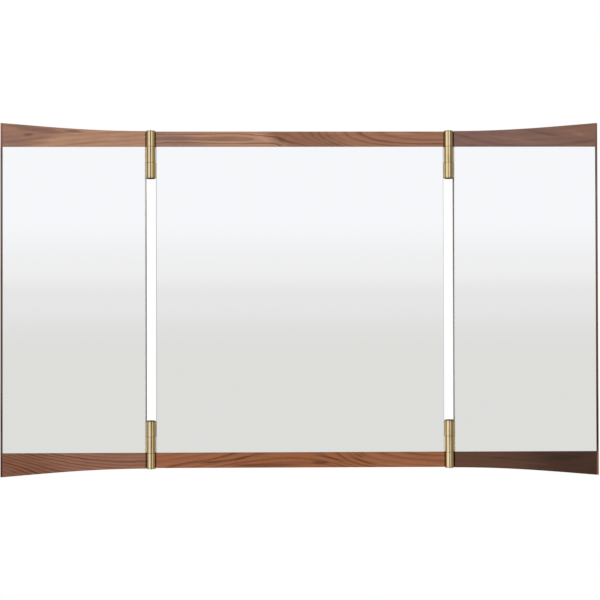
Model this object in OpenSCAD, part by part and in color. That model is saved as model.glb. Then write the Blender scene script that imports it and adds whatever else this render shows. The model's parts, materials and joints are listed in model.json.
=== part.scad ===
// Wall mirror in three panels: a fixed centre panel and two side wings on barrel hinges.
// X is to the right, Y goes into the wall and Z is up. The wall's surface is the plane y = 0.
// The origin is the centre of the wall rail's back face. All sizes are in millimetres.

/* [Panels] */
// Width of the centre panel, over its bare glass edges
centre_w = 574; // [450:2:760]
// Width of a wing, from its bare glass edge to the outside of its stile
wing_w = 288; // [220:2:360]
// Height of the glass between its rails
glass_h = 610; // [480:5:760]
// Height of the centre panel's rails
rail_h = 30; // [22:1:45]
// Step up from a centre rail to a wing rail at the hinge
wing_step = 1; // [0:0.5:3]
// Rise of a wing rail from the hinge to the stile
wing_flare = 16; // [0:1:40]

/* [Panel layers] */
// Depth of the glass behind the front of the rails
glass_recess = 1; // [0.5:0.1:2]
// Thickness of the glass
glass_t = 4; // [3:0.5:6]
// Width of the ground edge along the front of the bare glass edges
glass_arris = 1.2; // [0.5:0.1:2]
// Thickness of the mounting tape
tape_t = 1; // [0.5:0.1:2]
// Width of a strip of mounting tape
tape_w = 25; // [12:1:50]
// Distance of the tape from the edges of the glass
tape_inset = 20; // [10:1:35]
// Largest distance from one strip of tape to the next
tape_pitch = 130; // [80:5:250]
// Thickness of the board
board_t = 16; // [15:0.5:22]
// Thickness of the board's tongue
tongue_t = 6; // [4:0.5:8]
// Height of the board's tongue
tongue_h = 8; // [5:0.5:10]
// Thickness of the stile
stile_t = 4; // [3:0.5:8]

/* [Hinges] */
// Diameter of the barrel
barrel_d = 19; // [18:0.5:24]
// Length of the barrel over its end caps
barrel_len = 96; // [80:1:120]
// Distance that the barrel stands out past the centre rail
barrel_proud = 2; // [0:0.5:4]
// Depth of the barrel's axis behind the front of the rails
barrel_set_back = 3; // [1:0.5:5]
// Gap from the barrel to the edges of the panels
barrel_gap = 1; // [0.8:0.1:3]
// Thickness of an end cap's rim
cap_t = 2.5; // [2:0.5:5]
// Chamfer round an end cap
cap_chamfer = 1.2; // [0.2:0.1:1.2]
// Diameter of an end cap's spigot
spigot_d = 10; // [9:0.5:12]
// Length of an end cap's spigot
spigot_len = 4; // [2:0.5:6]
// Diameter of the pin
pin_d = 6; // [5:0.5:8]
// Thickness of a friction washer
washer_t = 0.3; // [0.2:0.1:1.5]
// Distance of a friction washer's rim inside the barrel's surface
washer_inset = 0.4; // [0.2:0.1:1.5]
// Chamfer round a knuckle's ends
knuckle_chamfer = 0.2; // [0.1:0.1:0.8]
// Thickness of a leaf
leaf_t = 3; // [2.5:0.1:4]
// Distance of a leaf's long sides from the faces of the board
leaf_inset = 0.75; // [0.5:0.05:1]
// Distance of a leaf's ends from the ends of the barrel
leaf_end_inset = 3.5; // [3:0.5:10]
// Radius of a leaf's corners
leaf_corner_r = 3; // [1:0.5:4]
// Thickness of the web that joins a knuckle to its leaf
web_t = 5; // [3:0.5:6]
// Number of screws in a leaf
leaf_screws = 4; // [3:1:5]
// Distance of the first and last screws from a leaf's ends
leaf_screw_inset = 12; // [8:1:14]
// Diameter of a leaf screw
leaf_screw_d = 3.5; // [3:0.1:4]
// Diameter of a leaf screw's head
leaf_screw_head_d = 6.4; // [5.5:0.1:6.8]
// Length of a leaf screw
leaf_screw_len = 28; // [16:1:40]

/* [Wall fittings] */
// Length of the wall rail and of the hanging rail
cleat_len = 400; // [380:5:430]
// Thickness of both rails
cleat_t = 3; // [2:0.5:4]
// Height of each rail's flange
flange_h = 30; // [24:1:40]
// Height of each rail's hooked lip
lip_h = 12; // [8:1:18]
// Distance of the hanging rail below the top of the board
cleat_drop = 33; // [20:1:80]
// Diameter of the wall rail's screw holes
wall_hole_d = 5.5; // [4:0.5:8]
// Distance between the two inner wall screw holes
wall_holes_inner = 120; // [60:5:200]
// Distance of the outer wall screw holes from the wall rail's ends
wall_hole_inset = 20; // [10:1:60]
// Diameter of a screw into the back of a board
back_screw_d = 4; // [3:0.5:4.5]
// Diameter of the head of a screw into the back of a board
back_screw_head_d = 7.6; // [6:0.1:9]
// Depth that a screw goes into the back of a board
back_screw_bite = 11; // [8:0.5:13]
// Number of screws in the hanging rail
hanging_screws = 4; // [3:1:7]
// Distance of the hanging rail's end screws from its ends
hanging_screw_inset = 20; // [10:1:40]
// Diameter of a bumper
bumper_d = 18; // [15:1:30]
// Chamfer round a bumper's foot
bumper_chamfer = 1.5; // [0.5:0.1:2]
// Thickness of rubber under a bumper's screw head
bumper_floor = 3; // [2:0.5:4]
// Distance of a bumper's centre from the edges of its board
bumper_inset = 35; // [20:1:60]

/* [Clearances] */
// Gap round the glass
glass_clear = 0.4; // [0.2:0.1:0.8]
// Gap round a board's tongue in its groove
tongue_clear = 0.1; // [0.05:0.05:0.3]
// Gap round a leaf in its mortise, and from a web to the edge of its panel
leaf_clear = 0.15; // [0.05:0.05:0.4]
// Radial gap from the pin to the knuckles that hold it
pin_fit = 0.02; // [0.01:0.01:0.05]
// Radial gap from the pin to the knuckle that turns on it
pin_play = 0.05; // [0.03:0.01:0.1]
// Gap from a friction washer to the knuckle that turns against it
washer_play = 0.05; // [0.02:0.01:0.1]
// Radial gap from a screw to its hole
screw_clear = 0.05; // [0.02:0.01:0.1]
// Gap between the two hooked lips, and half the gap from a lip to the wall
cleat_clear = 0.3; // [0.2:0.1:0.6]
// Gap round a bumper screw's head in its well
well_clear = 0.5; // [0.3:0.1:1]
// Gap below the hanging rail's lip
hook_clear = 1; // [0.5:0.1:2]

/* [Hidden] */
$fn = 64;

// Each wing's name and the side it is on, and each hinge's name, side and end
WINGS = [["left_wing", -1], ["right_wing", 1]];
HINGES = [["upper_left", -1, 1], ["lower_left", -1, -1], ["upper_right", 1, 1], ["lower_right", 1, -1]];
CENTRE_PIECES = ["board", "glass", "glass_tape", "top_rail", "bottom_rail", "bumpers", "bumper_screws"];
WING_PIECES = concat(CENTRE_PIECES, ["stile"]);
HINGE_PIECES = ["fixed_leaf", "wing_leaf", "pin", "end_caps", "washers", "fixed_screws", "wing_screws"];

// Colours
walnut = [0.60, 0.43, 0.34];
dark_walnut = [0.42, 0.29, 0.23];
silvered = [0.86, 0.88, 0.88];
brass = [0.79, 0.66, 0.42];
steel = [0.66, 0.67, 0.69];
milled_aluminium = [0.78, 0.79, 0.80];
black_rubber = [0.13, 0.13, 0.13];
grey_tape = [0.45, 0.46, 0.48];
bronze = [0.55, 0.42, 0.26];

// Overshoot of a cut past the surface that it opens
cut = 1;

// Shares that shape a screw: its slot over its head, the slot's depth and width over the slot,
// its tip over its thread, and a pan head's height and top over the head's diameter
slot_share = 0.55;
slot_depth_share = 0.5;
slot_width_share = 0.2;
tip_share = 0.25;
pan_height_share = 0.3;
pan_top_share = 0.8;

// Depths, from the wall to the front
standoff = 3 * cleat_t + 2 * cleat_clear;
panel_depth = board_t + tape_t + glass_t + glass_recess;
back_y = -standoff;
board_y = back_y - board_t;
tape_y = board_y - tape_t;
glass_y = tape_y - glass_t;
front_y = back_y - panel_depth;

// Widths, from the middle to one side
panel_gap = barrel_d + 2 * barrel_gap;
axis_x = (centre_w + panel_gap) / 2;
wing_x = centre_w / 2 + panel_gap;
wing_board_w = wing_w - stile_t;

// Heights, from the mirror's mid-height up
board_top = glass_h / 2;
rail_top = board_top + rail_h;
stile_top = rail_top + wing_step + wing_flare;
barrel_bottom = rail_top + barrel_proud - barrel_len;

// The wall fittings, from the origin up
lip_seat_z = flange_h / 2 + lip_h;
hanging_screw_z = lip_seat_z + (cleat_t + flange_h) / 2;
hanging_screw_len = cleat_t + back_screw_bite;
mid_z = lip_seat_z + flange_h + cleat_drop - board_top;

// Places along a hinge's barrel, from its inner end
washer_gap = washer_t + washer_play;
knuckle_len = (barrel_len - 2 * washer_gap) / 3;
wing_knuckle_z = knuckle_len + washer_gap;
outer_knuckle_z = 2 * wing_knuckle_z;
leaf_len = barrel_len - 2 * leaf_end_inset;

// A leaf's place from the barrel's axis, and its screws' row midway between barrel and back side
axis_y = front_y + barrel_set_back;
leaf_x = panel_gap / 2;
leaf_front = board_y + leaf_inset - axis_y;
leaf_back = back_y - leaf_inset - axis_y;
leaf_screw_y = (barrel_d / 2 + leaf_back) / 2;

// A wing rail's top edge as a cubic curve: level at the hinge, steady slope at the stile
flare_level = 0.4;
flare_bend = [0.75, 0.65];
flare_steps = 24;

function bezier(a, b, c, d, t) =
    pow(1 - t, 3) * a + 3 * pow(1 - t, 2) * t * b + 3 * (1 - t) * t * t * c + pow(t, 3) * d;

function flare_point(t) = [
    wing_board_w * bezier(0, flare_level, flare_bend[0], 1, t),
    rail_h + wing_step + wing_flare * bezier(0, 0, flare_bend[1], 1, t)
];

// Evenly spaced places from first to last
function spread(first, last, count) =
    [for (i = [0:count - 1]) first + (last - first) * i / (count - 1)];

// Frames of reference

module flip(direction, wanted) {
    if (wanted) mirror(direction) children();
    else children();
}

// Middle of the mirror's height
module at_mirror() translate([0, 0, mid_z]) children();

// A panel's top end for end = 1, or its bottom end for end = -1
module at_end(end) flip([0, 0, 1], end < 0) children();

// A wing, with x running outward from its bare edge
module at_wing(side)
    at_mirror()
        flip([1, 0, 0], side < 0)
            translate([wing_x, 0, 0])
                children();

// A hinge, with x running from its axis towards the wing and z from its inner end outward
module at_hinge(side, end)
    at_mirror()
        flip([1, 0, 0], side < 0)
            at_end(end)
                translate([axis_x, axis_y, barrel_bottom])
                    children();

// Extrudes an outline drawn in y and z along x
module extrude_x(length)
    rotate([90, 0, 90])
        linear_extrude(length)
            children();

// Fasteners

// Countersunk screw that points up, with its head's face at z = 0
module countersunk(d, head_d, length, grow = 0) {
    head_h = (head_d - d) / 2;
    tip_h = d;
    cylinder(h = head_h, d1 = head_d + 2 * grow, d2 = d + 2 * grow);
    cylinder(h = length - tip_h, d = d + 2 * grow);
    translate([0, 0, length - tip_h])
        cylinder(h = tip_h, d1 = d + 2 * grow, d2 = d * tip_share + 2 * grow);
}

// Cross slot for a head of that diameter, cut up from z = 0
module cross_slot(head_d) {
    length = head_d * slot_share;
    width = length * slot_width_share;
    depth = length * slot_depth_share;
    for (turn = [0, 90])
        rotate(turn)
            translate([-length / 2, -width / 2, -cut])
                cube([length, width, cut + depth]);
}

module screw(d, head_d, length)
    difference() {
        countersunk(d, head_d, length);
        cross_slot(head_d);
    }

// Hole for a screw, open past the face that it starts from
module screw_hole(d, head_d, length) {
    countersunk(d, head_d, length, screw_clear);
    translate([0, 0, -cut])
        cylinder(h = cut, d = head_d + 2 * screw_clear);
}

// Hinges, each drawn in the frame of at_hinge

module leaf_outline(grow)
    translate([leaf_front - grow, leaf_end_inset - grow]) {
        r = leaf_corner_r + grow;
        size = [leaf_back - leaf_front + 2 * grow, leaf_len + 2 * grow];
        translate([r, 0])
            square([size[0] - 2 * r, size[1]]);
        translate([0, r])
            square([size[0], size[1] - 2 * r]);
        for (y = [r, size[0] - r], z = [r, size[1] - r])
            translate([y, z])
                circle(r);
    }

// Puts a leaf's screws or their holes in place, for a leaf on the wing's side
module at_leaf_screws() {
    first = leaf_end_inset + leaf_screw_inset;
    for (z = spread(first, barrel_len - first, leaf_screws))
        translate([leaf_x, leaf_screw_y, z])
            rotate([0, 90, 0])
                children();
}

// Mortise and pilot holes for a leaf, cut into the edge of a panel on the wing's side
module leaf_cut() {
    translate([leaf_x - cut, 0, 0])
        extrude_x(cut + leaf_t)
            leaf_outline(leaf_clear);
    at_leaf_screws() screw_hole(leaf_screw_d, leaf_screw_head_d, leaf_screw_len);
}

module leaf_plate()
    difference() {
        translate([leaf_x, 0, 0])
            extrude_x(leaf_t)
                leaf_outline(0);
        at_leaf_screws() screw_hole(leaf_screw_d, leaf_screw_head_d, leaf_screw_len);
    }

// Bar of the barrel's diameter, with a chamfer round its bottom and its top
module turned_bar(length, bottom_chamfer, top_chamfer) {
    r = barrel_d / 2;
    rotate_extrude()
        polygon([
            [0, 0], [r - bottom_chamfer, 0], [r, bottom_chamfer],
            [r, length - top_chamfer], [r - top_chamfer, length], [0, length]
        ]);
}

// Knuckle from bottom to top. Its web fills the gap to the panel from the axis back, and runs on into
// the leaf within the leaf's outline.
module knuckle(bottom, top) {
    translate([0, 0, bottom])
        turned_bar(top - bottom, knuckle_chamfer, knuckle_chamfer);
    extrude_x(leaf_x - leaf_clear)
        translate([0, bottom])
            square([leaf_front + web_t, top - bottom]);
    extrude_x(leaf_x + leaf_t)
        intersection() {
            leaf_outline(0);
            translate([leaf_front, bottom])
                square([web_t, top - bottom]);
        }
}

module cap_socket(bottom)
    translate([0, 0, bottom])
        cylinder(h = spigot_len, d = spigot_d + 2 * pin_fit);

module hinge_fixed_leaf(side, end)
    color(brass)
        at_hinge(side, end)
            difference() {
                flip([1, 0, 0], true) {
                    leaf_plate();
                    knuckle(cap_t, knuckle_len);
                    knuckle(outer_knuckle_z, barrel_len - cap_t);
                }
                cylinder(h = barrel_len, d = pin_d + 2 * pin_fit);
                cap_socket(cap_t);
                cap_socket(barrel_len - cap_t - spigot_len);
            }

module hinge_wing_leaf(side, end)
    color(brass)
        at_hinge(side, end)
            difference() {
                union() {
                    leaf_plate();
                    knuckle(wing_knuckle_z, wing_knuckle_z + knuckle_len);
                }
                cylinder(h = barrel_len, d = pin_d + 2 * pin_play);
            }

module hinge_pin(side, end)
    color(steel)
        at_hinge(side, end)
            translate([0, 0, cap_t + spigot_len])
                cylinder(h = barrel_len - 2 * (cap_t + spigot_len), d = pin_d);

// End cap with its rim at the bottom and its spigot up
module end_cap() {
    turned_bar(cap_t, cap_chamfer, knuckle_chamfer);
    cylinder(h = cap_t + spigot_len, d = spigot_d);
}

module hinge_end_caps(side, end)
    color(brass)
        at_hinge(side, end) {
            end_cap();
            translate([0, 0, barrel_len])
                flip([0, 0, 1], true)
                    end_cap();
        }

module hinge_washers(side, end)
    color(bronze)
        at_hinge(side, end)
            for (z = [knuckle_len, outer_knuckle_z - washer_t])
                translate([0, 0, z])
                    difference() {
                        cylinder(h = washer_t, d = barrel_d - 2 * washer_inset);
                        translate([0, 0, -cut])
                            cylinder(h = washer_t + 2 * cut, d = pin_d + 2 * pin_play);
                    }

module hinge_fixed_screws(side, end)
    color(brass)
        at_hinge(side, end)
            flip([1, 0, 0], true)
                at_leaf_screws()
                    screw(leaf_screw_d, leaf_screw_head_d, leaf_screw_len);

module hinge_wing_screws(side, end)
    color(brass)
        at_hinge(side, end)
            at_leaf_screws()
                screw(leaf_screw_d, leaf_screw_head_d, leaf_screw_len);

// Cuts for both hinges of one side, in the wing's edge or in the centre panel's
module hinge_cuts(side, on_wing)
    for (end = [1, -1])
        at_hinge(side, end)
            flip([1, 0, 0], !on_wing)
                leaf_cut();

// Panels, each drawn with x from 0 to its width

module board(width)
    translate([0, board_y, -board_top]) {
        cube([width, board_t, glass_h]);
        translate([0, (board_t - tongue_t) / 2, -tongue_h])
            cube([width, tongue_t, glass_h + 2 * tongue_h]);
    }

// Groove for the board's tongue, in the frame of a rail with its inner face at z = 0
module groove(width)
    translate([-cut, board_y + (board_t - tongue_t) / 2 - tongue_clear, -cut])
        cube([width + 2 * cut, tongue_t + 2 * tongue_clear, cut + tongue_h + tongue_clear]);

// Rail of an outline drawn in x and z, above its inner face at z = 0
module rail(width)
    translate([0, 0, board_top])
        difference() {
            translate([0, back_y, 0])
                rotate([90, 0, 0])
                    linear_extrude(panel_depth)
                        children();
            groove(width);
        }

// Glass, with a ground edge at x = 0, and at its other side too if both sides are bare
module glass(width, both_bare) {
    a = glass_arris;
    far = both_bare ? [[width, a], [width - a, 0]] : [[width - glass_clear, 0]];
    far_x = both_bare ? width : width - glass_clear;
    translate([0, glass_y, glass_clear - board_top])
        linear_extrude(glass_h - 2 * glass_clear)
            polygon(concat([[a, 0], [0, a], [0, glass_t], [far_x, glass_t]], far));
}

module tape(width) {
    count = ceil((width - 2 * tape_inset - tape_w) / tape_pitch) + 1;
    for (x = spread(tape_inset, width - tape_inset - tape_w, count))
        translate([x, tape_y, tape_inset - board_top])
            cube([tape_w, tape_t, glass_h - 2 * tape_inset]);
}

// Puts bumpers, their screws or their screws' holes in place, with z up out of the board
module at_bumpers(places, ends)
    for (x = places, end = ends)
        translate([x, back_y, end * (board_top - bumper_inset)])
            rotate([-90, 0, 0])
                children();

module bumper() {
    r = bumper_d / 2;
    well_r = back_screw_head_d / 2 + well_clear;
    hole_r = back_screw_d / 2 + screw_clear;
    rotate_extrude()
        polygon([
            [hole_r, 0], [r, 0], [r, standoff - bumper_chamfer], [r - bumper_chamfer, standoff],
            [well_r, standoff], [well_r, bumper_floor], [hole_r, bumper_floor]
        ]);
}

// Pan-head screw that points down, with its head on the bumper's floor
module bumper_screw() {
    head_h = back_screw_head_d * pan_height_share;
    difference() {
        union() {
            translate([0, 0, bumper_floor])
                cylinder(h = head_h, d1 = back_screw_head_d, d2 = back_screw_head_d * pan_top_share);
            translate([0, 0, -back_screw_bite])
                cylinder(h = bumper_floor + back_screw_bite, d = back_screw_d);
        }
        translate([0, 0, bumper_floor + head_h])
            rotate([180, 0, 0])
                cross_slot(back_screw_head_d);
    }
}

module bumper_hole()
    translate([0, 0, -back_screw_bite])
        cylinder(h = back_screw_bite + cut, d = back_screw_d + 2 * screw_clear);

// Centre panel

centre_bumper_places = [bumper_inset, centre_w - bumper_inset];

module at_centre()
    at_mirror()
        translate([-centre_w / 2, 0, 0])
            children();

// Puts the hanging rail's screws or their holes in place, pointing into the board
module at_hanging_screws() {
    last = cleat_len / 2 - hanging_screw_inset;
    for (x = spread(-last, last, hanging_screws))
        translate([x, back_y + cleat_t, hanging_screw_z])
            rotate([90, 0, 0])
                children();
}

module centre_board()
    color(dark_walnut)
        difference() {
            at_centre() board(centre_w);
            for (side = [-1, 1]) hinge_cuts(side, false);
            at_hanging_screws() screw_hole(back_screw_d, back_screw_head_d, hanging_screw_len);
            at_centre() at_bumpers(centre_bumper_places, [-1]) bumper_hole();
        }

module centre_rail(end)
    color(walnut)
        difference() {
            at_centre() at_end(end) rail(centre_w) square([centre_w, rail_h]);
            for (side = [-1, 1]) hinge_cuts(side, false);
        }

module centre_glass() color(silvered) at_centre() glass(centre_w, true);

module centre_glass_tape() color(grey_tape) at_centre() tape(centre_w);

module centre_bumpers() color(black_rubber) at_centre() at_bumpers(centre_bumper_places, [-1]) bumper();

module centre_bumper_screws()
    color(steel) at_centre() at_bumpers(centre_bumper_places, [-1]) bumper_screw();

// Wings

wing_bumper_places = [wing_board_w - bumper_inset];

module wing_board(side)
    color(dark_walnut)
        difference() {
            at_wing(side) board(wing_board_w);
            hinge_cuts(side, true);
            at_wing(side) at_bumpers(wing_bumper_places, [-1, 1]) bumper_hole();
        }

module wing_rail_outline() {
    top = [for (i = [0:flare_steps]) flare_point(i / flare_steps)];
    polygon(concat([[wing_board_w, 0], [0, 0]], top));
}

module wing_rail(side, end)
    color(walnut)
        difference() {
            at_wing(side) at_end(end) rail(wing_board_w) wing_rail_outline();
            hinge_cuts(side, true);
        }

module wing_stile(side)
    color(walnut)
        at_wing(side)
            translate([wing_board_w, front_y, -stile_top])
                cube([stile_t, panel_depth, 2 * stile_top]);

module wing_glass(side) color(silvered) at_wing(side) glass(wing_board_w, false);

module wing_glass_tape(side) color(grey_tape) at_wing(side) tape(wing_board_w);

module wing_bumpers(side)
    color(black_rubber) at_wing(side) at_bumpers(wing_bumper_places, [-1, 1]) bumper();

module wing_bumper_screws(side)
    color(steel) at_wing(side) at_bumpers(wing_bumper_places, [-1, 1]) bumper_screw();

// Wall fittings: the wall rail's lip opens upward and the hanging rail's lip hooks down behind it

wall_lip_y = [-2 * cleat_t - cleat_clear, -cleat_t - cleat_clear];
hanging_lip_y = [-cleat_t - cleat_clear / 2, -cleat_clear / 2];

module wall_rail()
    color(milled_aluminium)
        difference() {
            translate([-cleat_len / 2, 0, 0])
                extrude_x(cleat_len)
                    polygon([
                        [0, -flange_h / 2],
                        [-cleat_t, -flange_h / 2],
                        [-cleat_t, flange_h / 2 - cleat_t],
                        [wall_lip_y[0], flange_h / 2 - cleat_t],
                        [wall_lip_y[0], lip_seat_z],
                        [wall_lip_y[1], lip_seat_z],
                        [wall_lip_y[1], flange_h / 2],
                        [0, flange_h / 2]
                    ]);
            for (spacing = [wall_holes_inner, cleat_len - 2 * wall_hole_inset], side = [-1, 1])
                translate([side * spacing / 2, cut, 0])
                    rotate([90, 0, 0])
                        cylinder(h = cleat_t + 2 * cut, d = wall_hole_d);
        }

module hanging_rail()
    color(milled_aluminium)
        difference() {
            translate([-cleat_len / 2, 0, 0])
                extrude_x(cleat_len)
                    polygon([
                        [back_y, lip_seat_z],
                        [back_y, lip_seat_z + flange_h],
                        [back_y + cleat_t, lip_seat_z + flange_h],
                        [back_y + cleat_t, lip_seat_z + cleat_t],
                        [hanging_lip_y[1], lip_seat_z + cleat_t],
                        [hanging_lip_y[1], flange_h / 2 + hook_clear],
                        [hanging_lip_y[0], flange_h / 2 + hook_clear],
                        [hanging_lip_y[0], lip_seat_z]
                    ]);
            at_hanging_screws() screw_hole(back_screw_d, back_screw_head_d, hanging_screw_len);
        }

module hanging_rail_screws()
    color(steel)
        at_hanging_screws()
            screw(back_screw_d, back_screw_head_d, hanging_screw_len);

wall_rail();
hanging_rail();
hanging_rail_screws();
centre_board();
centre_glass();
centre_glass_tape();
centre_rail(1);  // centre_top_rail
centre_rail(-1);  // centre_bottom_rail
centre_bumpers();
centre_bumper_screws();

for (wing = WINGS) {
    name = wing[0];
    side = wing[1];
    wing_board(side);
    wing_glass(side);
    wing_glass_tape(side);
    wing_rail(side, 1);
    wing_rail(side, -1);
    wing_stile(side);
    wing_bumpers(side);
    wing_bumper_screws(side);
}

for (hinge = HINGES) {
    name = hinge[0];
    side = hinge[1];
    end = hinge[2];
    hinge_fixed_leaf(side, end);
    hinge_wing_leaf(side, end);
    hinge_pin(side, end);
    hinge_end_caps(side, end);
    hinge_washers(side, end);
    hinge_fixed_screws(side, end);
    hinge_wing_screws(side, end);
}
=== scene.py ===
import json
import math
import bpy
from mathutils import Matrix, Vector


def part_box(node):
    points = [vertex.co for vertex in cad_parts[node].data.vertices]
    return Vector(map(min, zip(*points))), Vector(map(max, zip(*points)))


# Looks of the three-panel wall mirror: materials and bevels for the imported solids, a pale floor,
# soft studio light and the photograph's camera. Metres, in the solids' own frame: X to the right,
# Y into the wall, Z up. Inside the materials, places are in millimetres.
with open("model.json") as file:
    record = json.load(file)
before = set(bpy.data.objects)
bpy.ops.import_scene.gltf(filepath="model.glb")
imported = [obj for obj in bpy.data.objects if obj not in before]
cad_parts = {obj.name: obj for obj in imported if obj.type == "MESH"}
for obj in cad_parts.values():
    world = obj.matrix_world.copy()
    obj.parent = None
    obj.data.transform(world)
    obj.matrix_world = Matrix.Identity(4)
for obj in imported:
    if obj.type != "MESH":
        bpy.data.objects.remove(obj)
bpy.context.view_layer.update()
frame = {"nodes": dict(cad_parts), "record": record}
nodes = frame["nodes"]
scene = bpy.context.scene

MILLIMETRES = 1000.0
GLASS_LOW, GLASS_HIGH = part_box("centre_glass")
MIDDLE = (GLASS_LOW + GLASS_HIGH) / 2
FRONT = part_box("centre_top_rail")[0].y
RAIL_LOW, RAIL_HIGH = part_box("centre_top_rail")
HINGE_AXIS = {joint["name"]: Vector(joint["pos_m"]) for joint in frame["record"]["behaviour"]["joints"]}


def tone(red, green, blue):
    """Linear colour of an sRGB colour whose parts go from 0 to 255."""
    parts = []
    for part in (red, green, blue):
        share = part / 255
        parts.append(share / 12.92 if share <= 0.04045 else ((share + 0.055) / 1.055) ** 2.4)
    return (*parts, 1.0)


def grey(level):
    return tone(level, level, level)


def linear(red, green, blue):
    """Colour whose parts are linear already."""
    return (red, green, blue, 1.0)


WHITE = linear(1.0, 1.0, 1.0)


class Graph:
    """Adds shader nodes to one tree. An input is a socket of another node, or a plain number or colour."""

    def __init__(self, tree):
        self.tree = tree
        tree.nodes.clear()

    def feed(self, socket, source):
        if isinstance(source, bpy.types.NodeSocket):
            self.tree.links.new(source, socket)
        else:
            socket.default_value = source

    def add(self, kind, inputs, **settings):
        made = self.tree.nodes.new(kind)
        for key, setting in settings.items():
            setattr(made, key, setting)
        for slot, source in inputs.items():
            self.feed(made.inputs[slot], source)
        return made

    def math(self, operation, *sources, clamp=False):
        inputs = dict(enumerate(sources))
        return self.add("ShaderNodeMath", inputs, operation=operation, use_clamp=clamp).outputs[0]

    def times_plus(self, source, factor, term):
        return self.math("MULTIPLY_ADD", source, factor, term)

    def step(self, source, low, high, smooth=True):
        """0 below low and 1 above high, or the other way round if low is above high."""
        kind = "SMOOTHSTEP" if smooth else "LINEAR"
        inputs = {0: source, 1: low, 2: high}
        return self.add("ShaderNodeMapRange", inputs, interpolation_type=kind, clamp=True).outputs[0]

    def vector(self, x, y, z):
        return self.add("ShaderNodeCombineXYZ", {0: x, 1: y, 2: z}).outputs[0]

    def split(self, vector):
        return self.add("ShaderNodeSeparateXYZ", {0: vector}).outputs

    def length(self, vector):
        return self.add("ShaderNodeVectorMath", {0: vector}, operation="LENGTH").outputs["Value"]

    def noise(self, place, factors, detail, roughness=0.5, shift=0.0):
        """Noise over a place of three parts. The factors say how many of its waves fit in a millimetre
        along each, and shift moves it along the first."""
        moved = []
        for part, factor, term in zip(place, factors, (shift, 0.0, 0.0)):
            moved.append(self.times_plus(part, factor, term))
        inputs = {"Vector": self.vector(*moved), "Scale": 1.0, "Detail": detail, "Roughness": roughness}
        return self.add("ShaderNodeTexNoise", inputs).outputs[0]

    def mix(self, factor, first, second, blend="MIX"):
        made = self.tree.nodes.new("ShaderNodeMix")
        made.data_type = "RGBA"
        made.blend_type = blend
        self.feed(made.inputs[0], factor)
        self.feed(made.inputs[6], first)
        self.feed(made.inputs[7], second)
        return made.outputs[2]

    def times(self, first, second):
        """Product of two colours."""
        return self.mix(1.0, first, second, "MULTIPLY")

    def blend(self, factor, first, second):
        """Mix of two numbers."""
        made = self.tree.nodes.new("ShaderNodeMix")
        self.feed(made.inputs[0], factor)
        self.feed(made.inputs[2], first)
        self.feed(made.inputs[3], second)
        return made.outputs[0]

    def ramp(self, source, stops):
        """Smooth colour ramp over stops of place and colour."""
        made = self.add("ShaderNodeValToRGB", {0: source})
        made.color_ramp.interpolation = "EASE"
        points = made.color_ramp.elements
        while len(points) < len(stops):
            points.new(0.5)
        for point, (place, colour) in zip(points, stops):
            point.position = place
            point.color = colour
        return made.outputs[0]

    def curve(self, source, points, low, high):
        """Smooth curve through points of place from 0 to 1 and value from low to high."""
        made = self.add("ShaderNodeFloatCurve", {1: source})
        line = made.mapping.curves[0]
        while len(line.points) < len(points):
            line.points.new(0.5, 0.5)
        for point, (place, level) in zip(line.points, points):
            point.location = (place, (level - low) / (high - low))
            point.handle_type = "AUTO"
        made.mapping.update()
        return self.times_plus(made.outputs[0], high - low, low)

    def bump(self, height, distance, strength):
        """Distance is the real height of the relief, in metres."""
        inputs = {"Strength": strength, "Distance": distance, "Height": height}
        return self.add("ShaderNodeBump", inputs).outputs[0]

    def place(self):
        """The surface's own place x, y and z in the solids' frame, in millimetres."""
        own = self.add("ShaderNodeTexCoord", {}).outputs["Object"]
        scaled = self.add("ShaderNodeVectorMath", {0: own, 3: MILLIMETRES}, operation="SCALE")
        return self.split(scaled.outputs[0])

    def facing(self):
        """The surface's own direction x, y and z, which stays the same at every pose."""
        return self.split(self.add("ShaderNodeTexCoord", {}).outputs["Normal"])

    def surface(self, **inputs):
        """Principled surface, whose inputs are named in lower case with underscores."""
        named = {}
        for key, source in inputs.items():
            named[key.replace("_", " ").title().replace("Ior", "IOR")] = source
        shader = self.add("ShaderNodeBsdfPrincipled", named)
        output = self.tree.nodes.new("ShaderNodeOutputMaterial")
        self.tree.links.new(shader.outputs[0], output.inputs[0])


def material(name):
    made = bpy.data.materials.new(name)
    made.use_nodes = True
    return made, Graph(made.node_tree)


def dress(node_names, look):
    for name in node_names:
        slots = nodes[name].data.materials
        slots.clear()
        slots.append(look)


# Walnut

def even(level):
    """Curve that stays at one level."""
    return [(0.0, level), (1.0, level)]


LEVEL = even(0.0)
PEACH = tone(190, 149, 121)
TAN = tone(173, 133, 109)
ROSE = tone(156, 122, 107)
HAZEL = tone(150, 113, 94)
MAUVE = tone(142, 108, 97)
RUSSET = tone(154, 110, 86)
CHESTNUT = tone(142, 101, 79)
AMBER = tone(153, 98, 68)
CINNAMON = tone(149, 94, 62)
BROWN = tone(130, 88, 68)
COCOA = tone(145, 102, 82)
GREY_BROWN = tone(127, 97, 87)
DUN = tone(131, 98, 84)
SLATE = tone(108, 84, 76)
ASH = tone(112, 97, 88)
TAUPE = tone(92, 75, 64)
TOBACCO = tone(102, 78, 60)
BARK = tone(98, 60, 39)
CHOCOLATE = tone(93, 64, 51)
UMBER = tone(68, 46, 36)
SOOT = tone(54, 38, 32)
LATE_WOOD = tone(160, 134, 122)
PORE = tone(168, 150, 140)
# End grain tone, which also paints the shade at the rails' ends.
END_GRAIN_AND_SHADE = tone(104, 90, 80)


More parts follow.
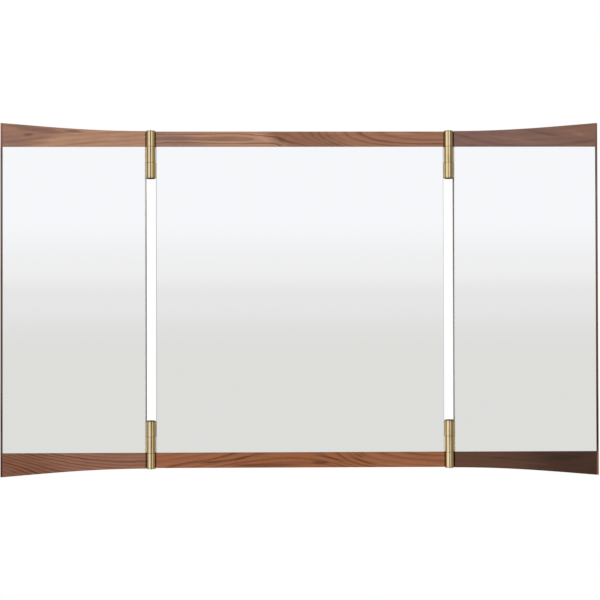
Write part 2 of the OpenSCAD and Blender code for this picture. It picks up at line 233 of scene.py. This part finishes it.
def grain(graph, along, across, depth, length, tints, rings, tilt, cup, contrast, seed,
          lean=0.0, patches=()):
    """Colour, roughness and relief of walnut whose grain runs along a piece.

    The growth rings are a field, in rings: rings + tilt * across + cup * across squared, each of the
    three a curve over the piece's length. Late wood darkens the end of each ring by the contrast, a
    curve too. The tints follow one another along the piece, leaning by that share of its length per
    millimetre across it.
    """
    shift = seed * 37.0

    def fibres(side, long, wide, detail, roughness=0.5):
        """Noise whose waves are that long along the grain and that wide across it, in millimetres."""
        return graph.noise((along, side, depth), (1 / long, 1 / wide, 1 / wide), detail, roughness, shift)

    def bend(source, wave, reach):
        return graph.times_plus(graph.math("SUBTRACT", wave, 0.5), reach, source)

    bent = bend(across, fibres(across, long=150, wide=34, detail=1.0), reach=9.0)
    bent = bend(bent, fibres(across, long=34, wide=9, detail=2.0), reach=2.4)
    share = along_share(graph, along, length)
    rings_per_depth = 0.11
    above_zero = 50.0
    field = graph.math("MULTIPLY", graph.curve(share, cup, -0.02, 0.02), bent)
    field = graph.math("ADD", field, graph.curve(share, tilt, -0.2, 0.2))
    field = graph.math("MULTIPLY", field, bent)
    field = graph.math("ADD", field, graph.curve(share, rings, -10.0, 10.0))
    field = graph.math("ADD", graph.times_plus(depth, rings_per_depth, field), above_zero)
    ring_share = graph.math("FRACT", field)
    ring_number = graph.math("FLOOR", field)
    ring_strength = graph.add("ShaderNodeTexWhiteNoise", {1: ring_number}, noise_dimensions="1D").outputs[0]
    late = graph.math("MULTIPLY", graph.step(ring_share, 0.35, 0.9), graph.step(ring_share, 1.0, 0.92))
    late = graph.math("MULTIPLY", late, graph.times_plus(ring_strength, 0.75, 0.25))
    late = graph.math("MULTIPLY", late, graph.curve(share, contrast, 0.0, 1.5), clamp=True)

    streak = fibres(bent, long=90, wide=5, detail=3.0, roughness=0.6)
    cloud = fibres(bent, long=46, wide=14, detail=2.0)
    fibre = fibres(across, long=30, wide=0.9, detail=3.0, roughness=0.6)
    pores = graph.step(fibres(across, long=6, wide=0.32, detail=1.0), 0.60, 0.72)

    place = bend(share, streak, reach=0.16)
    colour = graph.ramp(graph.times_plus(bent, lean, place), tints)
    for patch in patches:
        colour = graph.mix(patch_cover(graph, along, bent, length, patch), colour, patch["tint"])
    # Streaks, clouds and fibres make the wood lighter or darker, around its own tint.
    light = graph.times_plus(streak, 0.44, 0.66)
    light = graph.times_plus(cloud, 0.28, light)
    light = graph.times_plus(fibre, 0.20, graph.math("SUBTRACT", light, 0.10))
    colour = graph.times(colour, graph.vector(light, light, light))
    colour = graph.mix(late, colour, graph.times(colour, LATE_WOOD))
    colour = graph.mix(graph.math("MULTIPLY", pores, 0.45), colour, graph.times(colour, PORE))
    rough = graph.times_plus(fibre, 0.16, 0.38)
    rough = graph.times_plus(pores, 0.12, rough)
    relief = graph.times_plus(pores, -0.6, graph.math("MULTIPLY", fibre, 0.4))
    return colour, rough, graph.bump(relief, distance=0.00006, strength=0.5)


def spot(tint, share, height, size, lean=0.0, strength=0.7):
    """Patch of another tint: its place as a share of the length and a height above the middle line,
    its half length and half height, all but the share in millimetres, and its slope."""
    return dict(tint=tint, share=share, height=height, size=size, lean=lean, strength=strength)


def patch_cover(graph, along, across, length, patch):
    """How far a patch covers the wood, from 0 to its strength."""
    low, high = length
    half_length, half_height = patch["size"]
    from_centre = graph.math("SUBTRACT", along, low + (high - low) * patch["share"])
    rise = graph.times_plus(from_centre, -patch["lean"], graph.math("SUBTRACT", across, patch["height"]))
    reach_along = graph.math("DIVIDE", from_centre, half_length)
    reach_across = graph.math("DIVIDE", rise, half_height)
    distance = graph.length(graph.vector(reach_along, reach_across, 0.0))
    return graph.math("MULTIPLY", graph.step(distance, 1.0, 0.3), patch["strength"])


def along_share(graph, along, length):
    """Place along the grain as a share from 0 to 1 of the piece's length."""
    low, high = length
    return graph.step(along, low, high, smooth=False)


def finish_walnut(graph, colour, rough, relief, bare):
    """Bare is the share of the surface, 0 or 1, that has no oil and so no gloss."""
    oiled_gloss, bare_gloss = 0.12, 0.0
    graph.surface(base_color=colour, roughness=rough, normal=relief, ior=1.5,
                  specular_ior_level=graph.blend(bare, oiled_gloss, bare_gloss))


def end_face(graph, axis):
    """1 where the surface faces along the axis of that number, 0 for X and 2 for Z, else 0."""
    return graph.step(graph.math("ABSOLUTE", graph.facing()[axis]), 0.5, 0.9)


def walnut_rail(name, tints, rings, tilt, cup, contrast, seed, lean=0.002, patches=()):
    """Rail with its grain along X, the middle line at the centre rail's middle, and dark end grain,
    darkened further as painted shade.
    """
    low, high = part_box(name)
    rail_middle = (RAIL_LOW.z + RAIL_HIGH.z) / 2 - MIDDLE.z
    middle = MIDDLE.z + math.copysign(rail_middle, low.z + high.z - 2 * MIDDLE.z)
    look, graph = material("walnut_" + name)
    x, y, z = graph.place()
    across = graph.math("SUBTRACT", z, middle * MILLIMETRES)
    depth = graph.math("SUBTRACT", y, FRONT * MILLIMETRES)
    length = (low.x * MILLIMETRES, high.x * MILLIMETRES)
    colour, rough, relief = grain(graph, x, across, depth, length, tints, rings, tilt, cup, contrast, seed,
                                  lean, patches)
    end = end_face(graph, axis=0)
    # End grain is darker than the faces, and darker still as painted shade.
    colour = graph.mix(end, colour, graph.times(colour, END_GRAIN_AND_SHADE))
    finish_walnut(graph, colour, rough, relief, end)
    dress([name], look)


def walnut_stile(name, tints, seed):
    """Stile with its grain along Z."""
    low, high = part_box(name)
    look, graph = material("walnut_" + name)
    x, y, z = graph.place()
    across = graph.math("SUBTRACT", y, FRONT * MILLIMETRES)
    depth = graph.math("SUBTRACT", x, low.x * MILLIMETRES)
    length = (low.z * MILLIMETRES, high.z * MILLIMETRES)
    rings = [(0.0, 0.0), (0.5, 1.2), (1.0, 0.4)]
    colour, rough, relief = grain(graph, z, across, depth, length, tints, rings, even(0.1), LEVEL,
                                  even(0.7), seed)
    finish_walnut(graph, colour, rough, relief, bare=end_face(graph, axis=2))
    dress([name], look)


walnut_rail(
    "left_wing_top_rail",
    tints=[(0.0, HAZEL), (0.22, HAZEL), (0.45, TAN), (1.0, TAN)],
    rings=[(0.0, 1.5), (0.4, 0.3), (0.7, -0.6), (1.0, -1.2)],
    tilt=[(0.0, 0.09), (0.5, 0.11), (1.0, 0.12)],
    cup=LEVEL,
    contrast=even(0.32),
    seed=1,
    lean=-0.006,
    patches=[
        spot(SLATE, 0.25, 19.0, (80.0, 8.0), lean=-0.14, strength=0.55),
        spot(MAUVE, 0.05, 2.0, (50.0, 22.0)),
        spot(SLATE, 0.18, 8.0, (14.0, 4.5), strength=0.75),
        spot(SLATE, 0.49, 16.0, (30.0, 3.5), lean=-0.06),
        spot(HAZEL, 0.62, -6.0, (60.0, 3.0), lean=0.08, strength=0.5),
    ],
)
walnut_rail(
    "centre_top_rail",
    tints=[(0.0, ROSE), (0.08, ROSE), (0.2, TAN), (0.38, TAN), (0.45, CHESTNUT), (0.58, CHESTNUT),
           (0.68, RUSSET), (1.0, RUSSET)],
    rings=[(0.0, -0.25), (0.15, -0.19), (0.35, 0.0), (0.45, 1.0), (0.7, 8.0), (0.85, 9.6), (1.0, 10.0)],
    tilt=[(0.0, 0.0), (0.35, 0.0), (0.5, 0.09), (0.75, 0.09), (1.0, 0.10)],
    cup=[(0.0, 0.010), (0.35, 0.012), (0.5, -0.0026), (0.75, -0.0026), (1.0, -0.0015)],
    contrast=[(0.0, 0.8), (0.4, 0.9), (0.55, 0.55), (0.8, 0.75), (1.0, 0.85)],
    seed=2,
    patches=[
        spot(PEACH, 0.365, 4.0, (24.0, 8.0), lean=-0.6, strength=0.5),
        spot(BROWN, 0.43, 0.0, (14.0, 4.0), lean=-0.9, strength=0.6),
        spot(PEACH, 0.30, 1.0, (22.0, 2.5), strength=0.5),
        spot(HAZEL, 0.09, -6.0, (50.0, 5.0), lean=-0.1, strength=0.6),
        spot(PEACH, 0.86, 10.0, (60.0, 3.0), strength=0.35),
    ],
)
walnut_rail(
    "right_wing_top_rail",
    tints=[(0.0, GREY_BROWN), (0.5, GREY_BROWN), (1.0, DUN)],
    rings=[(0.0, 0.0), (0.5, 2.0), (1.0, 1.0)],
    tilt=[(0.0, 0.07), (1.0, 0.10)],
    cup=LEVEL,
    contrast=even(0.3),
    seed=3,
    patches=[
        spot(HAZEL, 0.42, 0.0, (80.0, 5.0), lean=-0.15, strength=0.45),
        spot(SLATE, 0.64, 12.0, (50.0, 5.0), lean=-0.2, strength=0.8),
        spot(SLATE, 0.92, -4.0, (40.0, 9.0), strength=0.5),
        spot(HAZEL, 0.86, 12.0, (26.0, 6.0), lean=-0.3, strength=0.5),
    ],
)
walnut_rail(
    "left_wing_bottom_rail",
    tints=[(0.0, BROWN), (0.2, BROWN), (0.5, COCOA), (1.0, COCOA)],
    rings=[(0.0, -6.0), (0.35, -1.5), (0.7, 0.6), (1.0, 1.0)],
    tilt=[(0.0, 0.15), (1.0, 0.15)],
    cup=LEVEL,
    contrast=[(0.0, 0.5), (0.12, 1.0), (0.45, 1.0), (0.7, 0.9), (1.0, 0.8)],
    seed=4,
)
walnut_rail(
    "centre_bottom_rail",
    tints=[(0.0, AMBER), (0.14, AMBER), (0.3, CINNAMON), (0.7, CINNAMON), (0.8, AMBER), (1.0, AMBER)],
    rings=[(0.0, 2.0), (0.15, 1.0), (0.4, -1.5), (0.55, -1.2), (0.75, 2.5), (1.0, 4.0)],
    tilt=[(0.0, 0.08), (0.4, 0.11), (0.75, 0.09), (1.0, 0.10)],
    cup=[(0.0, 0.002), (0.5, -0.003), (1.0, 0.002)],
    contrast=even(0.72),
    seed=5,
    patches=[
        spot(BARK, 0.38, -10.0, (95.0, 5.0), strength=0.6),
        spot(BARK, 0.20, -3.0, (42.0, 3.0), lean=0.10, strength=0.9),
        spot(BARK, 0.29, 4.0, (34.0, 2.6), lean=0.22, strength=0.9),
        spot(BARK, 0.57, -6.0, (26.0, 4.5), lean=-0.05, strength=0.9),
        spot(BARK, 0.605, 3.0, (42.0, 2.2), lean=-0.22, strength=0.9),
        spot(BARK, 0.717, -3.0, (32.0, 2.2), lean=-0.3, strength=0.9),
        spot(BARK, 0.70, 9.0, (14.0, 2.2), lean=-0.5, strength=0.8),
    ],
)
walnut_rail(
    "right_wing_bottom_rail",
    tints=[(0.0, CHOCOLATE), (0.25, CHOCOLATE), (0.75, UMBER), (1.0, UMBER)],
    rings=[(0.0, 0.0), (0.5, 1.0), (1.0, 3.0)],
    tilt=[(0.0, 0.09), (1.0, 0.12)],
    cup=LEVEL,
    contrast=even(0.2),
    seed=6,
    patches=[
        spot(SOOT, 0.78, 4.0, (60.0, 9.0), lean=0.05),
        spot(SOOT, 0.32, 2.0, (30.0, 4.0), strength=0.4),
        spot(CHOCOLATE, 0.55, -10.0, (50.0, 3.0), lean=-0.1, strength=0.5),
    ],
)
walnut_stile(
    "left_wing_stile",
    tints=[(0.05, UMBER), (0.08, TAUPE), (0.5, TAUPE), (0.92, ASH), (0.94, HAZEL)],
    seed=7,
)
walnut_stile(
    "right_wing_stile",
    tints=[(0.05, BROWN), (0.08, UMBER), (0.5, TOBACCO), (0.92, ASH), (0.94, DUN)],
    seed=8,
)


def veneered_board(name, seed, heart, rings, tilt, cup, stains_and_shade):
    """Board with walnut veneer on its back, grain upright round a heart at that share of the width, and
    edges whose tones follow one another from bottom to top: stain, and on the wings' boards painted shade
    and light as well."""
    low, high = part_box(name)
    look, graph = material("board_" + name)
    x, y, z = graph.place()
    across = graph.math("SUBTRACT", x, (low.x + (high.x - low.x) * heart) * MILLIMETRES)
    length = (low.z * MILLIMETRES, high.z * MILLIMETRES)
    tints = [(0.0, CHOCOLATE), (0.5, BROWN), (1.0, CHOCOLATE)]
    colour, rough, relief = grain(graph, z, across, y, length, tints, rings, even(tilt), even(cup),
                                  even(0.6), seed)
    chips = graph.noise((x, y, z), (0.5, 1.6, 0.25), detail=4.0, roughness=0.7)
    # Edge tones: stain, and on the wings' boards also painted shade and light over the height.
    stain_and_shade = graph.ramp(along_share(graph, z, length), stains_and_shade)
    stain_and_shade = graph.mix(chips, graph.times(stain_and_shade, tone(200, 196, 192)), stain_and_shade)
    edge = graph.step(graph.math("ABSOLUTE", graph.facing()[1]), 0.9, 0.6)
    colour = graph.mix(edge, colour, stain_and_shade)
    sawn_rough = 0.62
    rough = graph.blend(edge, rough, sawn_rough)
    finish_walnut(graph, colour, rough, relief, edge)
    dress([name], look)


veneered_board("centre_board", seed=9, heart=0.53, rings=[(0.0, -1.0), (0.3, 0.5), (0.7, 2.5), (1.0, 2.0)],
               tilt=0.03, cup=0.00035, stains_and_shade=[(0.0, tone(122, 107, 94)), (1.0, tone(130, 114, 101))])
# On the wings' boards the edge tones paint shade and light over the height, besides stain.
veneered_board("left_wing_board", seed=10, heart=0.4, rings=[(0.0, 3.0), (0.4, 1.0), (1.0, -2.5)],
               tilt=-0.02, cup=0.0009,
               stains_and_shade=[(0.15, tone(42, 38, 34)), (0.4, tone(60, 56, 51)), (0.62, tone(80, 75, 70)),
                       (0.78, tone(164, 158, 151)), (0.88, tone(232, 226, 219))])
veneered_board("right_wing_board", seed=11, heart=0.66, rings=[(0.0, -2.0), (0.5, -0.8), (1.0, 0.6)],
               tilt=0.045, cup=0.0005,
               stains_and_shade=[(0.1, tone(188, 183, 174)), (0.4, tone(190, 183, 174)), (0.7, tone(154, 144, 134)),
                       (0.9, tone(142, 122, 110))])


# Mirror glass

def mirror_glass(name, left_arris, right_arris, edge_bottom, edge_top):
    """Silvered front, matt ground arris and edges with the glass's green, dark backing paint at the back.
    The arris on either side has its own grey, from 0 to 255, as painted light and shade by the side it
    faces, and the edges fade from bottom to top as painted shade and light."""
    look, graph = material("mirror_" + name)
    x, y, z = graph.place()
    facing_x, facing_y = graph.facing()[:2]
    front = graph.step(facing_y, -0.97, -0.995)
    arris = graph.step(facing_y, -0.3, -0.6)
    back_y = GLASS_HIGH.y * MILLIMETRES
    paint_edge = back_y - 0.5
    paint = graph.step(y, paint_edge, paint_edge + 0.15)
    scratch = graph.noise((x, y, z), (2.0, 5.0, 0.08), detail=3.0)
    height = along_share(graph, z, (GLASS_LOW.z * MILLIMETRES, GLASS_HIGH.z * MILLIMETRES))
    # Painted shade and light: the ground edges go from one grey at the bottom to another at the top.
    ground = graph.mix(height, grey(edge_bottom), grey(edge_top))
    ground = graph.times(ground, graph.mix(scratch, tone(220, 234, 229), tone(248, 255, 252)))
    # Painted light and shade: each arris gets its own grey by the side it faces.
    arris_light_and_shade = graph.mix(graph.step(facing_x, -0.2, 0.2), grey(left_arris), grey(right_arris))
    arris_light_and_shade = graph.times(arris_light_and_shade, graph.mix(scratch, tone(238, 240, 240), WHITE))
    ground = graph.mix(arris, ground, arris_light_and_shade)
    ground = graph.mix(paint, ground, tone(62, 60, 60))
    colour = graph.mix(front, ground, linear(0.975, 0.98, 0.978))
    haze = graph.noise((x, y, z), (1 / 60, 0.0, 1 / 60), detail=4.0)
    silver_rough = graph.math("MULTIPLY", graph.step(haze, 0.4, 0.8), 0.012)
    rough = graph.blend(front, graph.times_plus(scratch, 0.2, 0.3), silver_rough)
    graph.surface(base_color=colour, metallic=front, roughness=rough, ior=1.52, specular_ior_level=0.0)
    dress([name], look)


mirror_glass("centre_glass", left_arris=178, right_arris=228, edge_bottom=190, edge_top=190)
mirror_glass("left_wing_glass", left_arris=240, right_arris=252, edge_bottom=50, edge_top=250)
mirror_glass("right_wing_glass", left_arris=250, right_arris=240, edge_bottom=200, edge_top=180)


# Metals

def painted_reflection_streaks(graph, angle, side, up, cloud):
    """Share of painted reflection, as darkening in two streaks down a barrel's front: a narrow line and a
    softer, wider one.
    The angle goes round the barrel from its front, and side is -1 on the left hinges and 1 on the right."""
    def band(middle, reach, core):
        """1 within core degrees of the middle, which is in radians, fading to 0 at reach degrees."""
        away = graph.math("ABSOLUTE", graph.math("SUBTRACT", angle, middle))
        return graph.step(away, math.radians(reach), math.radians(core))

    lean = graph.math("MULTIPLY", up, math.radians(-0.01))
    line_place = graph.times_plus(side, math.radians(-7.3), lean)
    line_strength = graph.times_plus(side, -0.17, graph.times_plus(cloud, 0.5, 0.5))
    line = graph.math("MULTIPLY", band(line_place, reach=9.5, core=5.0), line_strength, clamp=True)
    soft_place = graph.times_plus(side, math.radians(24.5), math.radians(-5.5))
    soft_strength = graph.times_plus(side, 0.12, 0.6)
    soft = graph.math("MULTIPLY", band(soft_place, reach=13.0, core=4.0), soft_strength)
    return graph.math("MAXIMUM", line, soft)


def hinge_brass():
    """Polished brass on the barrels, with fine drawn lines, two darker streaks of painted reflection down
    their front and a little tarnish.
    The inner end faces, and the crevices beside the wooden rails, are painted matt and dark as shade.
    Painted shade also darkens the webs and the barrels' sides beside the rails."""
    look, graph = material("hinge_brass")
    axis = HINGE_AXIS["right_wing_hinge"] * MILLIMETRES
    cap_low, cap_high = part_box("upper_right_end_caps")
    barrel_r = (cap_high.x - cap_low.x) / 2 * MILLIMETRES
    panel_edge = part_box("right_wing_glass")[0].x * MILLIMETRES - axis.x
    glass_half = (GLASS_HIGH.z - GLASS_LOW.z) / 2 * MILLIMETRES
    x, y, z = graph.place()
    up = graph.math("SUBTRACT", z, MIDDLE.z * MILLIMETRES)
    side = graph.math("SIGN", x)
    from_axis_x = graph.times_plus(side, -axis.x, x)
    from_axis_y = graph.math("SUBTRACT", y, axis.y)
    radius = graph.length(graph.vector(from_axis_x, from_axis_y, 0.0))
    angle = graph.math("ARCTAN2", from_axis_x, graph.math("MULTIPLY", from_axis_y, -1.0))

    round_it = graph.times_plus(angle, barrel_r, graph.math("MULTIPLY", side, 60.0))
    drawn = graph.noise((round_it, y, z), (1 / 1.2, 0.0, 1 / 90), detail=2.0, roughness=0.6)
    lathe = graph.noise((x, y, z), (0.03, 0.03, 1.5), detail=3.0, roughness=0.6)
    cloud = graph.noise((x, y, z), (0.12, 0.12, 0.05), detail=4.0, roughness=0.6, shift=5.0)
    tarnish = graph.step(cloud, 0.45, 0.75)
    colour = graph.mix(tarnish, linear(0.775, 0.632, 0.398), linear(0.655, 0.512, 0.286))
    colour = graph.mix(graph.step(drawn, 0.35, 0.8), colour, linear(0.815, 0.682, 0.445))

    off_axis = graph.math("ABSOLUTE", from_axis_x)
    past_barrel = graph.step(radius, barrel_r + 0.15, barrel_r + 0.35)
    web = graph.math("MULTIPLY", past_barrel, graph.step(off_axis, panel_edge - 0.05, panel_edge - 0.1))
    by_wood = graph.step(graph.math("ABSOLUTE", up), glass_half - 1.0, glass_half + 1.0)
    flank = graph.math("MULTIPLY", by_wood, graph.step(off_axis, barrel_r - 2.5, barrel_r))
    # Painted reflection: two darker streaks down each barrel's front.
    shade = painted_reflection_streaks(graph, angle, side, up, cloud)
    # Painted shade: the leaf's web in the gap beside each barrel is darkened.
    shade = graph.math("MAXIMUM", shade, graph.math("MULTIPLY", web, 0.4))
    # Painted shade: the barrel's sides beside the wooden rails are darkened.
    shade = graph.math("MAXIMUM", shade, graph.math("MULTIPLY", flank, 0.8))
    # Painted reflection and painted shade darken the brass towards a deep brown here.
    colour = graph.mix(shade, colour, linear(0.11, 0.072, 0.024))

    # Painted shade: a matt dark colour in the crevices beside the rails and on the inner end faces.
    painted_shade_colour = graph.mix(graph.step(cloud, 0.3, 0.7),
                       linear(0.035, 0.016, 0.007), linear(0.065, 0.032, 0.014))
    crevice = graph.math("MULTIPLY", past_barrel, graph.step(radius, barrel_r + 8.0, barrel_r + 4.0))
    to_middle = graph.math("MULTIPLY", graph.math("SIGN", up), -1.0)
    inward = graph.math("MULTIPLY", graph.facing()[2], to_middle)
    inner_end = graph.step(inward, 0.4, 0.75)
    dark = graph.math("MAXIMUM", graph.math("MULTIPLY", crevice, by_wood), inner_end)
    colour = graph.mix(dark, colour, painted_shade_colour)
    rough = graph.times_plus(tarnish, 0.05, graph.times_plus(lathe, 0.04, 0.025))
    rough = graph.blend(dark, rough, graph.times_plus(cloud, 0.2, 0.32))
    graph.surface(base_color=colour, metallic=graph.math("SUBTRACT", 1.0, dark), roughness=rough,
                  normal=graph.bump(lathe, distance=0.000003, strength=0.5), specular_ior_level=0.0)
    return look


def drawn_metal(name, colour, bright, rough, stretch):
    """Metal with fine lines. Rough is its least and most roughness, and stretch is the size of its
    texture along X, Y and Z, in millimetres."""
    look, graph = material(name)
    lines = graph.noise(graph.place(), [1 / size for size in stretch], detail=4.0, roughness=0.65)
    shade = graph.mix(graph.step(lines, 0.3, 0.7), colour, bright)
    least, most = rough
    graph.surface(base_color=shade, metallic=1.0, roughness=graph.times_plus(lines, most - least, least),
                  normal=graph.bump(lines, distance=0.00003, strength=0.5))
    return look


def dull(name, colour, pale, rough, size, relief):
    """Rubber or foam with a fine even texture. Rough is its least and most roughness, and the texture's
    size is in millimetres and its relief in metres."""
    look, graph = material(name)
    speckle = graph.noise(graph.place(), [1 / size] * 3, detail=4.0, roughness=0.6)
    shade = graph.mix(graph.step(speckle, 0.35, 0.7), colour, pale)
    least, most = rough
    graph.surface(base_color=shade, roughness=graph.times_plus(speckle, most - least, least), ior=1.45,
                  normal=graph.bump(speckle, distance=relief, strength=0.6))
    return look


def ending(*endings):
    return [name for name in nodes if name.endswith(endings)]


BRIGHT_STEEL = linear(0.74, 0.75, 0.77)
brass_screws = ending("_fixed_screws", "_wing_screws")
steel_screws = ending("_bumper_screws", "_rail_screws")
dress(ending("_fixed_leaf", "_wing_leaf", "_end_caps") + brass_screws, hinge_brass())
dress(ending("_pin"), drawn_metal(
    "hinge_pin_steel",
    colour=linear(0.60, 0.61, 0.63),
    bright=BRIGHT_STEEL,
    rough=(0.18, 0.34),
    stretch=(0.4, 0.4, 30.0),
))
dress(steel_screws, drawn_metal(
    "zinc_screws",
    colour=linear(0.56, 0.58, 0.61),
    bright=BRIGHT_STEEL,
    rough=(0.25, 0.45),
    stretch=(1.2, 1.2, 1.2),
))
dress(["wall_rail", "hanging_rail"], drawn_metal(
    "rail_aluminium",
    colour=linear(0.66, 0.67, 0.69),
    bright=linear(0.80, 0.81, 0.82),
    rough=(0.28, 0.46),
    stretch=(180.0, 0.8, 0.8),
))
dress(ending("_washers"), drawn_metal(
    "washer_bronze",
    colour=linear(0.30, 0.20, 0.11),
    bright=linear(0.46, 0.33, 0.19),
    rough=(0.3, 0.45),
    stretch=(0.7, 0.7, 0.7),
))
dress(ending("_bumpers"), dull(
    "bumper_rubber",
    colour=grey(38),
    pale=tone(60, 59, 58),
    rough=(0.65, 0.85),
    size=0.6,
    relief=0.00008,
))
dress(ending("_tape"), dull(
    "mounting_tape",
    colour=tone(104, 107, 110),
    pale=tone(146, 149, 152),
    rough=(0.75, 0.9),
    size=0.4,
    relief=0.0001,
))


# Softened edges

def soften(node_names, width):
    """Rounds the sharp edges by width, in metres, within the solid's own shape."""
    same_point = 0.000002
    sharp_from = math.radians(35)
    for name in node_names:
        weld = nodes[name].modifiers.new("weld", "WELD")
        weld.merge_threshold = same_point
        bevel = nodes[name].modifiers.new("bevel", "BEVEL")
        bevel.width = width
        bevel.segments = 2
        bevel.limit_method = "ANGLE"
        bevel.angle_limit = sharp_from
        bevel.harden_normals = True


soften(ending("_top_rail", "_bottom_rail"), width=0.0006)
soften(ending("_stile"), width=0.0005)


# Studio

def spread(low, high, stops):
    """Stops of a ramp from 0 to 1, out of stops whose places go from low to high."""
    return [((place - low) / (high - low), colour) for place, colour in stops]


def build_world():
    """White for the camera. In front, metal and glass see that white graded to a soft grey below the
    horizon. Soft light strips stand beside it in a dim warm room, with pale grey further up and down.
    Matt surfaces get even light. Angles are in degrees, with azimuth 0 in front and 90 on the right."""
    world = bpy.data.worlds.new("studio")
    scene.world = world
    world.use_nodes = True
    graph = Graph(world.node_tree)
    x, y, z = graph.split(graph.add("ShaderNodeTexCoord", {}).outputs["Generated"])
    elevation = graph.math("DEGREES", graph.math("ARCSINE", z))
    azimuth = graph.math("DEGREES", graph.math("ARCTAN2", x, graph.math("MULTIPLY", y, -1.0)))

    lowest, highest = -4.0, 8.0
    graded = graph.ramp(graph.step(elevation, lowest, highest, smooth=False), spread(lowest, highest, [
        (-1.6, tone(224, 224, 221)),
        (0.8, tone(232, 232, 232)),
        (2.0, tone(241, 241, 241)),
        (4.16, tone(248, 249, 252)),
    ]))
    in_front = graph.step(graph.math("ABSOLUTE", azimuth), 34.0, 16.0)
    graded = graph.mix(in_front, WHITE, graded)

    behind = linear(0.42, 0.41, 0.39)
    dim_side = linear(0.42, 0.39, 0.32)
    strip_left = linear(1.25, 1.25, 1.25)
    strip_right = linear(1.20, 1.20, 1.20)
    warm_dark = linear(0.36, 0.31, 0.18)
    round_room = graph.times_plus(azimuth, 1 / 360, 0.5)
    room = graph.ramp(round_room, spread(-180.0, 180.0, [
        (-180.0, behind),
        (-130.0, dim_side),
        (-99.0, linear(0.40, 0.34, 0.20)),
        (-68.4, linear(0.42, 0.36, 0.22)),
        (-57.6, strip_left),
        (-41.4, strip_left),
        (-27.0, linear(0.94, 0.93, 0.90)),
        (-14.4, WHITE),
        (14.4, WHITE),
        (21.6, strip_right),
        (30.6, strip_right),
        (48.6, warm_dark),
        (64.8, warm_dark),
        (90.0, linear(0.31, 0.26, 0.17)),
        (126.0, dim_side),
        (180.0, behind),
    ]))
    pale = graph.ramp(round_room, spread(-180.0, 180.0, [
        (-180.0, linear(0.60, 0.60, 0.60)),
        (-90.0, linear(0.68, 0.68, 0.68)),
        (-28.8, WHITE),
        (28.8, WHITE),
        (90.0, linear(0.68, 0.68, 0.68)),
        (180.0, linear(0.60, 0.60, 0.60)),
    ]))
    level = graph.step(graph.math("ABSOLUTE", elevation), 18.0, 8.0)
    seen = graph.times(graded, graph.mix(level, pale, room))

    path = graph.add("ShaderNodeLightPath", {}).outputs
    mirrored = graph.math("MAXIMUM", path["Is Glossy Ray"], path["Is Transmission Ray"])
    soft = graph.mix(graph.step(elevation, -30.0, 60.0), linear(0.42, 0.42, 0.42), linear(0.62, 0.62, 0.63))
    colour = graph.mix(mirrored, soft, seen)
    colour = graph.mix(path["Is Camera Ray"], colour, WHITE)
    background = graph.add("ShaderNodeBackground", {"Color": colour, "Strength": 1.0})
    output = world.node_tree.nodes.new("ShaderNodeOutputWorld")
    world.node_tree.links.new(background.outputs[0], output.inputs[0])


def soft_lamp(name, place, width, power, colour=(1.0, 1.0, 1.0)):
    """Round soft lamp that points at the mirror. Its width is in metres and its power in watts, and metal
    and glass don't show it."""
    lamp = bpy.data.lights.new(name, "AREA")
    lamp.shape = "DISK"
    lamp.size = width
    lamp.energy = power
    lamp.color = colour
    holder = bpy.data.objects.new(name, lamp)
    scene.collection.objects.link(holder)
    holder.location = place
    target = Vector((0.0, FRONT, MIDDLE.z))
    holder.rotation_euler = (target - Vector(place)).to_track_quat("-Z", "Y").to_euler()
    holder.visible_camera = False
    holder.visible_glossy = False


def build_floor():
    """Round pale floor that fades out between two distances from its middle, which are in millimetres."""
    radius = 2.6
    level = -1.65
    turns = 96
    fade_start, fade_end = 1300.0, 2500.0
    angles = [2 * math.pi * i / turns for i in range(turns)]
    corners = [(radius * math.cos(angle), radius * math.sin(angle), level) for angle in angles]
    mesh = bpy.data.meshes.new("floor")
    mesh.from_pydata(corners, [], [tuple(range(turns))])
    floor = bpy.data.objects.new("floor", mesh)
    scene.collection.objects.link(floor)
    look, graph = material("pale_floor")
    x, y, z = graph.place()
    solid = graph.step(graph.length(graph.vector(x, y, 0.0)), fade_end, fade_start)
    matt = graph.add("ShaderNodeBsdfDiffuse", {"Color": linear(0.88, 0.88, 0.87)})
    clear = graph.add("ShaderNodeBsdfTransparent", {})
    both = graph.add("ShaderNodeMixShader", {0: solid, 1: clear.outputs[0], 2: matt.outputs[0]})
    output = look.node_tree.nodes.new("ShaderNodeOutputMaterial")
    look.node_tree.links.new(both.outputs[0], output.inputs[0])
    mesh.materials.append(look)


build_world()
build_floor()
soft_lamp("key_lamp", place=(-1.9, -2.6, 1.1), width=1.6, power=47.0, colour=(1.0, 0.98, 0.95))
soft_lamp("fill_lamp", place=(2.2, -2.5, 0.3), width=1.8, power=23.5)
soft_lamp("back_lamp", place=(0.9, 2.4, 1.0), width=1.8, power=42.0)


# Camera

def build_camera():
    """Camera of the photograph: 2.6 m in front of the mirror, a little left of its middle and below it."""
    distance = 2.6
    left_of_middle = 0.0409
    below_middle = 0.03
    yaw = math.radians(-0.890)
    pitch = math.radians(0.629)
    roll = math.radians(-0.133)
    place = Vector((-left_of_middle, FRONT - distance, MIDDLE.z - below_middle))
    level_turn = math.cos(pitch)
    forward = Vector((-math.sin(yaw) * level_turn, math.cos(yaw) * level_turn, math.sin(pitch)))
    level_right = forward.cross(Vector((0.0, 0.0, 1.0))).normalized()
    level_up = level_right.cross(forward)
    right = level_right * math.cos(roll) + level_up * math.sin(roll)
    up = level_up * math.cos(roll) - level_right * math.sin(roll)
    camera = bpy.data.objects.new("camera", bpy.data.cameras.new("camera"))
    scene.collection.objects.link(camera)
    turn = Matrix((right, up, -forward)).transposed().to_4x4()
    camera.matrix_world = Matrix.Translation(place) @ turn
    camera.data.sensor_width = 36.0
    camera.data.lens = 78.25
    scene.camera = camera


build_camera()
scene.view_settings.view_transform = "Standard"

# Folded wings and the centre mirror face each other. Each reflection in a reflection is one bounce more.
scene.cycles.glossy_bounces = 20
scene.cycles.max_bounces = 24
